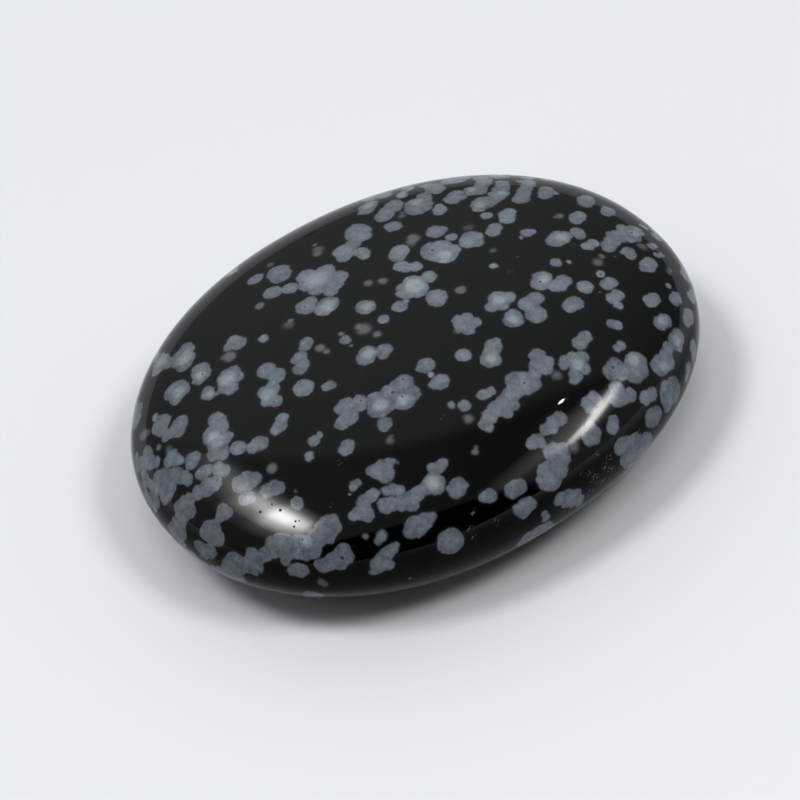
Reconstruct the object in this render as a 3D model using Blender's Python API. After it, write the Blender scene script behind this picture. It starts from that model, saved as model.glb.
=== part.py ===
"""Polished palm stone of snowflake obsidian: one solid oval pebble.

Metres, +Z up. The stone rests on z = 0, with the origin under the middle of its box,
+X along its length and +Y across its width.
"""

import math

import bmesh
import bpy
import numpy as np

# Driving dimensions, in metres
LENGTH = 0.0402
WIDTH = 0.0320
THICKNESS = 0.0132
GIRDLE_HEIGHT = 0.0063  # height of the widest line above the table

# The outline, seen from above
OUTLINE_POWER = 2.12  # 2 is a true ellipse, more is fuller at its four corners
EGG_SHARE = 0.0048  # the outline swells by this share of its radius, at three places
EGG_TURN = math.radians(-17.5)  # where the first swell lies, turned from +X

# The two domes that meet at the girdle: more power is flatter on top and rounder at the rim
TOP_POWER = 2.8
BASE_POWER = 3.0
FLAT_SHARE = 0.34  # size of the flat it rests on, as a share of the outline

# How finely the solid is cut into faces
SEGMENTS = 72
TOP_RINGS = 16
BASE_RINGS = 12

# The polished black glass
GLASS_COLOUR = (0.006, 0.006, 0.0055, 1.0)
GLASS_ROUGHNESS = 0.06


def clear_scene():
    """Remove whatever the scene holds."""
    for thing in list(bpy.data.objects):
        bpy.data.objects.remove(thing, do_unlink=True)


def outline():
    """Points of the girdle seen from above, one row each.

    The radius is that of a superellipse, |x / a| ** n + |y / b| ** n = 1, times one plus three
    faint swells that make it a little egg-shaped. The ring is then centred and brought to the
    stone's exact length and width.
    """
    angle = np.arange(SEGMENTS) * (2 * math.pi / SEGMENTS)
    along = np.abs(np.cos(angle) / (LENGTH / 2)) ** OUTLINE_POWER
    across = np.abs(np.sin(angle) / (WIDTH / 2)) ** OUTLINE_POWER
    radius = (along + across) ** (-1 / OUTLINE_POWER)
    radius *= 1 + EGG_SHARE * np.cos(3 * (angle - EGG_TURN))
    ring = np.stack([radius * np.cos(angle), radius * np.sin(angle)], axis=1)
    low, high = ring.min(axis=0), ring.max(axis=0)
    return (ring - (low + high) / 2) * np.array([LENGTH, WIDTH]) / (high - low)


def dome(lift, power, steps, last_share=0.0):
    """Profile of one dome, from the girdle to its top: pairs of outline share and rise.

    The rise is lift * sin(turn) where the share is cos(turn) ** (2 / power), so that
    share ** power + (rise / lift) ** 2 = 1. The steps are even in turn and end where the
    share has come down to last_share.
    """
    last_turn = math.acos(last_share ** (power / 2))
    turns = [last_turn * step / steps for step in range(steps + 1)]
    return [(math.cos(turn) ** (2 / power), lift * math.sin(turn)) for turn in turns]


def profile():
    """Outline share and height of each ring, from the flat underneath up to the top."""
    lower = dome(1.0, BASE_POWER, BASE_RINGS, FLAT_SHARE)
    deepest = lower[-1][1]
    below = [(share, GIRDLE_HEIGHT * (1 - rise / deepest)) for share, rise in reversed(lower)]
    upper = dome(THICKNESS - GIRDLE_HEIGHT, TOP_POWER, TOP_RINGS)
    above = [(share, GIRDLE_HEIGHT + rise) for share, rise in upper]
    return below + above[1:-1], THICKNESS


def stone_mesh():
    """The pebble as one closed mesh: a flat, a wall drawn up ring by ring, and a pole."""
    ring = outline()
    rows, top = profile()
    shape = bmesh.new()
    share, height = rows[0]
    loop = [shape.verts.new((x * share, y * share, height)) for x, y in ring]
    shape.faces.new(list(reversed(loop)))
    for share, height in rows[1:]:
        raised = [shape.verts.new((x * share, y * share, height)) for x, y in ring]
        for here in range(SEGMENTS):
            after = (here + 1) % SEGMENTS
            shape.faces.new((loop[here], loop[after], raised[after], raised[here]))
        loop = raised
    pole = shape.verts.new((0.0, 0.0, top))
    for here in range(SEGMENTS):
        shape.faces.new((loop[here], loop[(here + 1) % SEGMENTS], pole))
    bmesh.ops.recalc_face_normals(shape, faces=shape.faces)
    mesh = bpy.data.meshes.new("stone")
    shape.to_mesh(mesh)
    shape.free()
    mesh.shade_smooth()
    return mesh


def black_glass():
    """Glossy, opaque, almost black volcanic glass."""
    material = bpy.data.materials.new("obsidian")
    material.use_nodes = True
    surface = material.node_tree.nodes["Principled BSDF"]
    surface.inputs["Base Color"].default_value = GLASS_COLOUR
    surface.inputs["Roughness"].default_value = GLASS_ROUGHNESS
    surface.inputs["Metallic"].default_value = 0.0
    return material


def main():
    """Build the stone and its material."""
    clear_scene()
    stone = bpy.data.objects.new("stone", stone_mesh())
    bpy.context.scene.collection.objects.link(stone)
    stone.data.materials.append(black_glass())


main()
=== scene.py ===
"""Looks of a polished palm stone of snowflake obsidian, lying on a plain pale floor.

Metres throughout, in the frame of the solid model: the stone's length runs along X, its width
along Y, and it rests on z = 0. The snowflakes are balls of pale crystal that the polish has cut
through, so they are colour and not relief. Each mark in the lists below is given as how far to
the right and how far away its middle lies from the middle of the top, measured over the polished
surface, right and away as the camera sees them, and then its radius, all in millimetres.
"""

import math

import bpy
import numpy as np
from mathutils import Matrix, Vector

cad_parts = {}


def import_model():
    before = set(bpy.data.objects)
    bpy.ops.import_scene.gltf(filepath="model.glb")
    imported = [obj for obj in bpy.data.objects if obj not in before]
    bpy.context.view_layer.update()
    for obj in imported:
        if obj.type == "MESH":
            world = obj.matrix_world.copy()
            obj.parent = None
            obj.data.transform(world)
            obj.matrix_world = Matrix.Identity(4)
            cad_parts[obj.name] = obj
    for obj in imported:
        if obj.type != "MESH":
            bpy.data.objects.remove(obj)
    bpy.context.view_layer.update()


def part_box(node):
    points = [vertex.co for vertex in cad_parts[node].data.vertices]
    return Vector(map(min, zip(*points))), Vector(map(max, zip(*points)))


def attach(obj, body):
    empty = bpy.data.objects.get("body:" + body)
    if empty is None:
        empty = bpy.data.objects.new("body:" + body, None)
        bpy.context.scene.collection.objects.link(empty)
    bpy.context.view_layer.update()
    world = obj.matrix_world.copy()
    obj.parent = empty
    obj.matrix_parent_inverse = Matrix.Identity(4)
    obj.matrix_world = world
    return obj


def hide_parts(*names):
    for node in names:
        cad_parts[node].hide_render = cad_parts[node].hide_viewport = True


MM = 0.001

# The stone's form, as in the solid model
GIRDLE_SHARE = 6.3 / 13.2  # height of the widest line, as a share of the thickness
OUTLINE_POWER = 2.12
EGG_SHARE = 0.0048
EGG_TURN = math.radians(-17.5)
TOP_POWER = 2.8
BASE_POWER = 3.0
FLAT_SHARE = 0.34

# How finely the visible surface is cut
AROUND = 384
TOP_STEPS = 96
BASE_STEPS = 64
INSET = 0.02 * MM  # how far the visible surface lies inside the solid one

# Where the camera stands, turned from straight in front of the stone's long side
CAMERA_SIDE = math.radians(-27.3)
CAMERA_HEIGHT = math.radians(44.5)
CAMERA_ROLL = math.radians(-10.65)
CAMERA_DISTANCE = 0.235
CAMERA_AIM = (0.93 * MM, 4.60 * MM, 0.0)
CAMERA_LENS = 153.0

# Finishes, as linear colours
GLASS = (0.0005, 0.0005, 0.0005, 1.0)
BLUE_FLAKE = (0.136, 0.157, 0.182, 1.0)
LILAC_FLAKE = (0.145, 0.155, 0.185, 1.0)
WHITE_FLAKE = (0.139, 0.156, 0.168, 1.0)
GHOST = (0.113, 0.119, 0.124, 1.0)
CHIP = (0.15, 0.14, 0.125, 1.0)
FLOOR = (0.641, 0.653, 0.678, 1.0)

# Roughness, of which the flakes' and the pits' are added to the glass's
GLASS_ROUGHNESS = 0.04
FLAKE_ROUGHNESS = 0.045
PIT_ROUGHNESS = 0.6
FLOOR_ROUGHNESS = 0.9

# How strongly the glass mirrors on its top, and how strongly low down or seen at a slant, where the
# weaker mirror is painted shade that darkens the floor seen in the lower rim
GLASS_IOR = 1.49
SHADE_IOR = 1.22
SHADE_HEIGHTS = (7.3, 8.6)  # in millimetres, from dull to bright
SHADE_SLANTS = (0.45, 0.78)  # as one minus the slant's cosine, from bright to dull

# How the pattern looks, with noise scales in swells to the millimetre
BENDS = ((1.6, 0.26), (3.2, 0.08))  # noise scales, and millimetres over which each bends a mark
BALL_SWELL = 0.36  # how much brighter a ball is in its middle than at its edge
HEART_SWELL = 0.5
EVEN_SQUARE = 0.45  # square of the share of its radius where a mark is as bright as its tone
LEAST_LIGHT = 0.7
HEART_LIGHT = 0.5
LINE_LIGHT = 0.05  # of a flake's rim, and of the line where two balls meet
CLOUD_SCALE = 2.3
CLOUD_LIGHT = 0.85
CLOUD_SHIFT = -0.435
GRAIN_SCALE = 6.5
GRAIN_LIGHT = 0.32
HUE_SCALE = 0.45
RING_LIGHT = 0.28  # about a dark middle
MIDDLE_DARKNESS = 0.65
RELIEF_SCALE = 14.0
RELIEF = 0.002 * MM  # how deep the grain is in the polish
GHOST_SOFTNESS = 0.75  # as a share of a faint flake's radius
GHOST_POWER = 1.9  # how steeply it fades
DUST_SCALE = 1.1
CHIP_SCALE = 7.0

# How the marks are laid on the stone, lengths in millimetres
SEED = 7
BATCH = 8192  # faces worked out at a time
OUTLINE_STEPS = 720  # points of the outline between which a mark's direction is read
MELT = 0.16  # how far two balls of a flake run into each other
GROWTH = 0.02  # how much larger each ball is than its radius in the lists
BALL_EDGE = 0.07  # half the width over which a ball's light fades out
CLOSE = 1.0  # how near two marks of the far rim are when one more goes between them

# The chains of flakes on the sides that the camera doesn't see, lengths in millimetres
OUT_OF_SIGHT = -0.06  # cosine between a face's normal and the line to the camera
HIDDEN_CHAINS = 330
HIDDEN_GHOST_CHAINS = 12
HIDDEN_TONE = 0.92  # how bright their flakes are
CHAIN_BALLS = 6  # at most
CHAIN_RADII = (0.36, 0.72)
CHAIN_SWELL = (0.8, 1.25)  # factor on the radii of a whole chain
CHAIN_CHANCE = 0.74  # how likely a chain is to go on after each ball
CHAIN_WANDER = 0.9  # how much its heading changes there

# The dark screen in front, as large as if it stood one metre away
SCREEN_SIDE = 8  # degrees to the right of the camera
SCREEN_HALF_WIDTH = 0.82
SCREEN_HALF_HEIGHT = 0.80
SCREEN_POWER = 3.0  # how square its corners are

FLOOR_HALF = 2.0  # half the length of the floor's sides

# Small pits in the polish, where the left window's light breaks up
PITS = [
    (-11.65, -13.7, 0.10), (-10.75, -13.5, 0.07), (-10.3, -14.05, 0.09), (-9.5, -15.05, 0.06),
    (-9.25, -15.1, 0.05), (-9.7, -15.35, 0.07),
]

# Flakes on the left of the top
TOP_LEFT = [
    (-11.3, 9.4, 0.55), (-11.3, 9.9, 0.5), (-11.5, 10.4, 0.5), (-9.4, 6.28, 0.6), (-7.75, 6.15, 0.85),
    (-7.65, 5.6, 0.8), (-8.3, 3.97, 0.68), (-7.1, 3.85, 0.6), (-5.85, 4.65, 0.78), (-5.95, 3.75, 0.65),
    (-4.6, 4.65, 0.75), (-5.3, 4, 0.8), (-5.35, 3, 0.62), (-4.6, 3.7, 0.8), (-3.8, 3.75, 0.68),
    (-4.2, 3.2, 0.75), (-4.45, 2.5, 0.5), (-6.25, 1.5, 0.72), (-5.9, 1.9, 0.5), (-4.75, 1.25, 0.75),
    (-5.1, 0.85, 0.65), (-3.1, 6.4, 0.82), (-3.2, 5.8, 0.55), (-2.5, 7, 0.55), (-2, 5.9, 0.55),
    (-1.85, 5.5, 0.45), (-2.05, 8.75, 0.8), (-2.2, 8.2, 0.75), (-1.7, 8.3, 0.7), (-1.65, 7.7, 0.6),
    (-2, 7.6, 0.6), (-2.35, 0.25, 0.67), (-1.35, -1.25, 0.42),
]

# Flakes on the right of the top
TOP_RIGHT = [
    (0.55, 5.15, 0.65), (0.3, 4.7, 0.6), (3.15, 6.55, 0.68), (3.55, 6.6, 0.4), (4.1, 5.65, 0.42),
    (2.75, 4.5, 0.95), (3.3, 4.7, 0.8), (3.45, 3.85, 0.85), (4.1, 4.35, 0.5), (2.9, 3.9, 0.6),
    (5.45, 5.2, 0.78), (5.2, 4.9, 0.7), (5.6, 4.75, 0.6), (7.15, 6.05, 0.5), (6.9, 5.6, 0.52),
    (8.1, 7.3, 0.6), (8, 6.8, 0.55), (8.3, 7.7, 0.5), (0.45, 3.55, 0.55), (0.75, 3.3, 0.5),
    (1.4, 3.25, 0.48), (1, 1.7, 0.75), (0.55, 1.1, 0.8), (1.15, 1, 0.8), (0.2, 0.95, 0.5),
    (2.1, 2, 0.58), (2.3, -0.05, 0.73), (2.3, -0.4, 0.6), (-0.15, -0.3, 0.55), (0.3, 0.1, 0.25),
    (6.45, 2.05, 0.31), (6.25, -1.2, 0.75), (6.95, -1.1, 0.5), (5.75, -1.8, 0.5), (6.3, -1.6, 0.65),
    (0.42, 8.08, 0.62), (3.7, 9.1, 0.5), (3.7, 8.85, 0.45), (3.75, 9.65, 0.28), (6.75, 7.55, 0.43),
]

# Flakes along the far rim, laid out as strings of balls down its slope
FAR_RIM = [
    (-1.2, 11.2, 0.6), (-1, 11.9, 0.68), (-0.8, 12.4, 0.5), (-0.7, 13.4, 0.5), (-1, 14.2, 0.5),
    (-0.1, 9.6, 0.65), (0.2, 10.2, 0.62), (0.5, 10.8, 0.6), (0.8, 11.4, 0.55), (0.75, 10.4, 0.5),
    (1.05, 11, 0.45), (1.45, 12.3, 0.42), (1.5, 12.9, 0.42), (0.3, 13.4, 0.55), (0.3, 14.2, 0.5),
    (2.2, 9.7, 0.78), (2.3, 10.6, 0.78), (2, 10.1, 0.6), (2.9, 10.2, 0.52), (2.9, 11, 0.52),
    (2.9, 11.7, 0.5), (2.75, 9.75, 0.55), (1.95, 13.6, 0.5), (2.1, 14.4, 0.4), (3.75, 12.4, 0.68),
    (3.7, 13.1, 0.7), (4, 12.3, 0.5), (3.85, 11.75, 0.35), (3.3, 13.6, 0.5), (4.75, 10.15, 0.55),
    (5, 10.6, 0.68), (5.15, 11.1, 0.5), (5.4, 10.4, 0.4), (4.55, 10.4, 0.42), (4.9, 13.6, 0.62),
    (5.5, 13.6, 0.62), (4.9, 14.3, 0.5), (6, 14.2, 0.6), (6.2, 11.4, 0.52), (6.15, 10.9, 0.48),
    (6.7, 10.9, 0.48), (6.9, 11.6, 0.5), (7.15, 12.3, 0.58), (7.3, 13, 0.62), (7.2, 13.7, 0.6),
    (6.35, 8.6, 0.5), (6.5, 9.2, 0.62), (6.85, 9.5, 0.6), (7, 8.95, 0.52), (7.4, 9.4, 0.48),
    (7.85, 9.8, 0.5), (8.2, 10.3, 0.52), (7.6, 10.3, 0.48), (8.3, 10.9, 0.5), (8.4, 11.6, 0.52),
    (8.45, 12.3, 0.45), (8, 11.1, 0.4), (8.5, 13.8, 0.7), (8.3, 14.4, 0.6), (9.3, 9.25, 0.6),
    (9.55, 9.8, 0.55), (9.7, 10.4, 0.5), (9.95, 11, 0.48), (10.25, 11.8, 0.5), (10.4, 12.4, 0.48),
    (10.4, 13.4, 0.5), (9.8, 12.4, 0.35), (11.1, 9.9, 0.55), (11.3, 10.5, 0.58), (11.4, 11, 0.42),
    (10.95, 9.6, 0.4), (11.85, 10.2, 0.3), (12.1, 13.4, 0.6), (13.3, 13, 0.45), (13.7, 8.8, 0.52),
    (13.85, 9.3, 0.62), (14.1, 9.8, 0.52), (14.2, 10.1, 0.4), (15.25, 8, 0.5), (15.4, 8.5, 0.5),
    (15, 7.7, 0.4),
]

# Flakes towards the right end
RIGHT_SIDE = [
    (9.1, 5.1, 0.45), (9.5, 5.15, 0.3), (8.65, 4.6, 0.17), (12.85, 6.8, 0.6), (12.65, 6.4, 0.5),
    (13.05, 7.1, 0.5), (11.2, 4.35, 0.75), (10.85, 4, 0.65), (11.6, 4.6, 0.5), (12.5, 5, 0.5),
    (12.6, 4.6, 0.48), (13.4, 3.75, 0.42), (12.95, 3.4, 0.45), (14.95, 4.8, 0.5), (14.8, 4.2, 0.6),
    (14.4, 3.6, 0.55), (14.3, 3.2, 0.4), (16.9, 6.1, 0.65), (16.3, 5.3, 0.85), (16, 5.9, 0.6),
    (15.4, 4.6, 0.5), (15.8, 5.3, 0.55), (16.1, 4.7, 0.45), (15.25, 5.1, 0.4), (15.8, 3.1, 0.55),
    (15.75, 2.7, 0.4), (15.4, 3, 0.3), (17.3, 2.5, 0.52), (16.9, 2, 0.6), (16.5, 1.6, 0.35),
    (17.7, 4.45, 0.33), (18, 4.75, 0.33), (18, 3.6, 0.3), (18.4, 3.9, 0.28), (18.3, 0.6, 0.25),
    (10.55, 1.75, 0.42), (11.4, 1.75, 0.17), (9.4, 0.35, 0.7), (9.2, -0.15, 0.68), (10.75, -0.05, 0.55),
    (10.4, -0.45, 0.6), (10.1, -0.5, 0.5), (12.1, -0.7, 0.6), (13.9, -0.2, 0.52), (13.6, -0.45, 0.5),
    (13.35, 0.55, 0.32), (14.2, -1.3, 0.48), (13.8, -1.65, 0.5), (14.1, -2.2, 0.35), (16.9, -1.05, 0.5),
    (16.5, -1.4, 0.55), (18.85, -0.2, 0.5), (18.55, -0.55, 0.48), (20, -1.2, 0.62),
    (19.65, -1.75, 0.48), (20.3, -0.8, 0.4), (20.6, 1, 0.5), (21, 1.6, 0.5), (20.4, 3, 0.55),
    (20.7, 3.6, 0.6), (20.8, 4.4, 0.55), (18.6, 6.4, 0.45), (19, 6.9, 0.5), (18.9, 7.5, 0.5),
    (19.3, 7.7, 0.4), (17.8, 7.3, 0.4), (20.6, -3.3, 0.6), (20.9, -3.6, 0.5), (20.2, -5.1, 0.5),
    (20.3, -5.6, 0.4),
]

# Flakes on the front right
RIGHT_FRONT = [
    (3.4, -2.5, 0.42), (3.95, -2.45, 0.45), (3.6, -3, 0.6), (4.35, -3, 0.5), (3.9, -3.5, 0.5),
    (6.95, -2.85, 0.6), (6.75, -3.3, 0.55), (7.15, -3.3, 0.5), (8, -1.9, 0.6), (8.6, -1.5, 0.6),
    (8.45, -2.95, 0.72), (8.3, -2.4, 0.55), (11.2, -2.15, 0.62), (10.8, -2.4, 0.55),
    (13.4, -3.85, 0.38), (13.8, -3.9, 0.38), (11.35, -5, 0.48), (10.95, -5.45, 0.55),
    (11.6, -4.75, 0.25), (13.8, -5.45, 0.35), (13.45, -5.75, 0.3), (17.5, -2.7, 0.58), (17, -3.1, 0.55),
    (18.6, -3.5, 0.6), (18.2, -4.1, 0.6), (18.7, -4.2, 0.4), (17.55, -4.8, 0.5), (17.4, -5.4, 0.6),
    (17.6, -5.8, 0.55), (16.9, -6.2, 0.75), (16.5, -6.4, 0.55), (14.8, -6.6, 0.85), (14.5, -7.2, 0.85),
    (15, -7, 0.7), (13.2, -7.1, 0.65), (12.8, -7.5, 0.6), (13.6, -7.4, 0.6), (14.15, -8.9, 0.52),
    (13.6, -9.2, 0.5), (13.1, -9.3, 0.6), (13.1, -8.6, 0.55), (16.1, -8.4, 0.5), (15.5, -8.8, 0.5),
    (15.2, -9, 0.3), (18.3, -7.3, 0.8), (17.8, -7.9, 0.85), (18.2, -8.3, 0.7), (17.4, -7.6, 0.5),
    (18.9, -7.4, 0.7), (16.9, -9.7, 0.72), (16.4, -9.9, 0.65), (10.9, -6.55, 0.5), (10.3, -6.6, 0.45),
    (9.75, -6.8, 0.4), (10.6, -7.1, 0.65), (11, -7.4, 0.4), (10.3, -7.9, 0.5), (10.15, -8.2, 0.35),
    (9.6, -7.2, 0.35), (8.6, -6.9, 0.5), (7.9, -7.1, 0.6), (8.35, -7.35, 0.5), (7.6, -7.7, 0.45),
    (8, -6.35, 0.58), (6.3, -8.2, 0.75), (6.9, -8.1, 0.6), (7.3, -8.5, 0.6), (6.8, -8.6, 0.7),
    (6.1, -8.9, 0.6), (5.7, -9.3, 0.6), (5.2, -9.7, 0.6), (5.8, -9.9, 0.45), (4.7, -10.1, 0.6),
    (5.3, -10.3, 0.5), (4.2, -10.6, 0.55), (3.8, -11.1, 0.42), (4, -11.3, 0.35), (4.15, -8.95, 0.42),
    (4.55, -8.75, 0.33), (3.95, -9, 0.35), (2.7, -9.6, 0.42), (1.9, -9.45, 0.24), (3.25, -5.65, 0.55),
    (5.3, -5.2, 0.58), (5.1, -5.7, 0.6), (4.95, -6.3, 0.7), (5.6, -4.85, 0.3), (0.8, -5.95, 0.58),
    (0.55, -6.2, 0.42), (0.95, -6.8, 0.27), (1.4, -7.6, 0.6), (1.6, -7.4, 0.5), (1.05, -7.7, 0.35),
    (10.9, -9.85, 0.5), (11.4, -9.45, 0.5), (11, -10.1, 0.45), (8.8, -10.95, 0.5), (8.3, -11.25, 0.5),
    (7.75, -11.7, 0.42), (8.2, -11.6, 0.4), (7.1, -12.4, 0.5), (6.7, -12.6, 0.42), (7.3, -12.6, 0.38),
    (11.2, -11.9, 0.62), (10.8, -12.15, 0.52), (11, -11.4, 0.45), (12.8, -10.8, 0.4),
    (12.75, -11.25, 0.47), (8.3, -13, 0.52), (7.9, -13.2, 0.5), (8.7, -13, 0.5), (8.8, -13.5, 0.6),
    (7.9, -14.3, 0.7), (7.4, -14.4, 0.52), (8.5, -14.1, 0.65), (7.6, -15, 0.7), (8.1, -15.1, 0.6),
    (7.2, -15, 0.4), (8.7, -14.4, 0.5), (13.75, -12.35, 0.6), (14.3, -12.2, 0.7), (15.1, -12, 0.8),
    (15, -12.8, 0.8), (15.8, -12.9, 0.85), (15.9, -12, 0.85), (16.7, -12.4, 0.9), (17.3, -12, 0.9),
    (16.8, -13, 0.75), (17.6, -11.5, 0.6), (16.3, -11.35, 0.5), (18.2, -11.8, 0.6), (17.6, -12.8, 0.6),
    (16.9, -11.2, 0.45), (8.85, -16.3, 0.5), (9.5, -16.2, 0.62), (10.2, -16.2, 0.65),
    (10.85, -16.5, 0.5), (11.25, -16.8, 0.35), (9.6, -16.6, 0.52), (10.4, -16.65, 0.5),
]

# Flakes towards the left end
LEFT_SIDE = [
    (-11.35, 0.35, 0.5), (-11.05, -0.1, 0.6), (-11.75, -0.1, 0.42), (-9.35, -0.4, 0.36),
    (-15, 0.25, 0.75), (-14.8, 0.5, 0.65), (-15, 1.2, 0.75), (-14.9, 1.8, 0.6), (-14.7, 1.4, 0.5),
    (-15.5, 0.8, 0.6), (-15.5, 1.5, 0.5), (-16.2, 1.2, 0.5), (-16.6, 1.5, 0.6), (-17.2, 1.6, 0.7),
    (-16.8, 2.1, 0.6), (-17.4, 2.3, 0.55), (-17.2, 2.9, 0.5), (-17.6, 3.4, 0.4), (-17.7, 4.1, 0.35),
    (-17.9, 4.8, 0.4), (-14, -1.3, 0.7), (-13.75, -1.1, 0.5), (-14.2, -1, 0.45), (-13.75, -1.75, 0.55),
    (-14.05, -1.9, 0.58), (-16.3, -1.85, 0.6), (-15.75, -2.05, 0.85), (-15.9, -2.5, 0.65),
    (-15.4, -2.3, 0.6), (-16.1, -1.6, 0.5), (-12, -2.95, 0.85), (-12.2, -3.5, 0.7), (-12, -3.9, 0.58),
    (-11.75, -2.6, 0.55), (-12.45, -3, 0.4), (-11.4, -3.2, 0.42), (-12.5, -3.7, 0.4),
    (-13.6, -3.4, 0.42), (-13.5, -3.8, 0.42), (-13.8, -3.65, 0.33), (-17.8, -3.1, 0.35),
    (-17.4, -4, 0.72), (-17.85, -4, 0.48), (-17, -4, 0.48), (-17.4, -4.5, 0.55), (-17.1, -5.2, 0.5),
    (-16.6, -5.2, 0.5), (-16.05, -5.1, 0.7), (-15.8, -4.85, 0.52), (-16.1, -5.45, 0.52),
    (-9.45, -3.45, 0.68), (-8.9, -4.05, 0.62), (-8.8, -4.4, 0.35), (-9.2, -4.6, 0.3),
    (-9.65, -5.3, 0.65), (-9.35, -5.1, 0.6), (-9.6, -5.9, 0.6), (-9.2, -6.2, 0.52),
    (-7.25, -5.75, 0.72), (-5.75, -6.15, 0.38), (-5.45, -6.05, 0.4), (-6.6, -1.85, 0.48),
    (-6.75, -2.25, 0.4), (-7.15, -3, 0.48), (-7.5, -3.2, 0.35), (-7.05, -3.7, 0.5), (-7.3, -4.1, 0.5),
    (-4.05, -2.4, 0.4), (-2.75, -3.95, 0.6), (-2.95, -4.4, 0.65), (-1.65, -4, 0.52), (-1.8, -4.4, 0.4),
    (-2.2, -4.1, 0.35), (-17, -7.1, 0.55), (-17.3, -7.2, 0.48), (-16.7, -7.5, 0.48),
    (-16.4, -7.7, 0.35), (-15.55, -8.2, 0.58), (-15.25, -8.1, 0.42), (-15.7, -8.4, 0.42),
    (-13.35, -5.95, 0.55), (-13.2, -6.3, 0.62), (-13.1, -6.8, 0.6), (-13.8, -7, 0.62),
    (-13.9, -7.2, 0.6), (-13.3, -7.5, 0.75), (-12.9, -7.7, 0.55), (-13.6, -7.9, 0.65),
    (-13.85, -8.5, 0.58), (-13.4, -8.6, 0.6), (-13.2, -8.95, 0.38), (-12.2, -8.85, 0.52),
    (-12.35, -8.75, 0.42), (-11.95, -8.9, 0.4), (-10.7, -9.1, 0.58), (-11.2, -9.2, 0.45),
    (-8.95, -7.75, 0.45), (-9.15, -8.2, 0.5), (-9.5, -8.5, 0.4),
]

# The crowded patch on the left rim
LEFT_RIM = [
    (-20, 0, 0.5), (-19.65, -0.8, 0.7), (-19.8, -1.5, 0.65), (-20.3, -1, 0.6), (-19.3, 2.8, 0.5),
    (-19.5, 2, 0.5), (-19.9, 1.4, 0.5), (-20.5, -5.3, 0.5), (-20, -5.5, 0.5), (-19.5, -5.9, 0.55),
    (-18.9, -6.3, 0.52), (-18.4, -6.6, 0.4), (-19.1, -5.2, 0.5), (-18.9, -5.6, 0.4), (-20.5, -4.6, 0.4),
    (-20.1, -6.3, 0.45), (-19.95, -7, 0.5), (-19.65, -7.5, 0.38), (-20.4, -6.9, 0.4),
    (-20.6, -7.7, 0.4), (-18.6, -7.8, 0.6), (-18, -8.1, 0.7), (-17.4, -8.4, 0.6), (-16.95, -8.6, 0.58),
    (-16.45, -9, 0.5), (-16.15, -9.35, 0.42), (-17.6, -9, 0.52), (-18.3, -8.8, 0.7),
    (-18.6, -9.3, 0.48), (-18.05, -9.3, 0.48), (-19.3, -8.2, 0.6), (-20, -8.6, 0.6), (-20.3, -9, 0.4),
    (-19.7, -8.9, 0.5), (-20.5, -8.3, 0.4), (-14.9, -9.5, 0.52), (-14.5, -9.45, 0.38),
    (-15.2, -9.4, 0.36), (-13.75, -9.7, 0.48), (-13.35, -10.05, 0.42), (-13.6, -9.95, 0.45),
    (-15.65, -10.6, 0.52), (-14.95, -10.6, 0.6), (-14.25, -10.6, 0.52), (-14.8, -10.45, 0.5),
    (-17, -10.6, 0.48), (-17.55, -10.7, 0.5), (-16.5, -10.7, 0.48), (-17.1, -11.3, 0.58),
    (-16.7, -11.4, 0.5), (-17.8, -11.4, 0.6), (-18.3, -11.9, 0.6), (-18.5, -11.4, 0.5),
    (-19.1, -11.6, 0.6), (-19.6, -11.4, 0.5), (-19.2, -12.4, 0.5), (-18.4, -12.3, 0.35),
    (-19.6, -12.9, 0.4), (-19.3, -13.8, 0.5), (-19, -14.6, 0.4),
]

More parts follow.
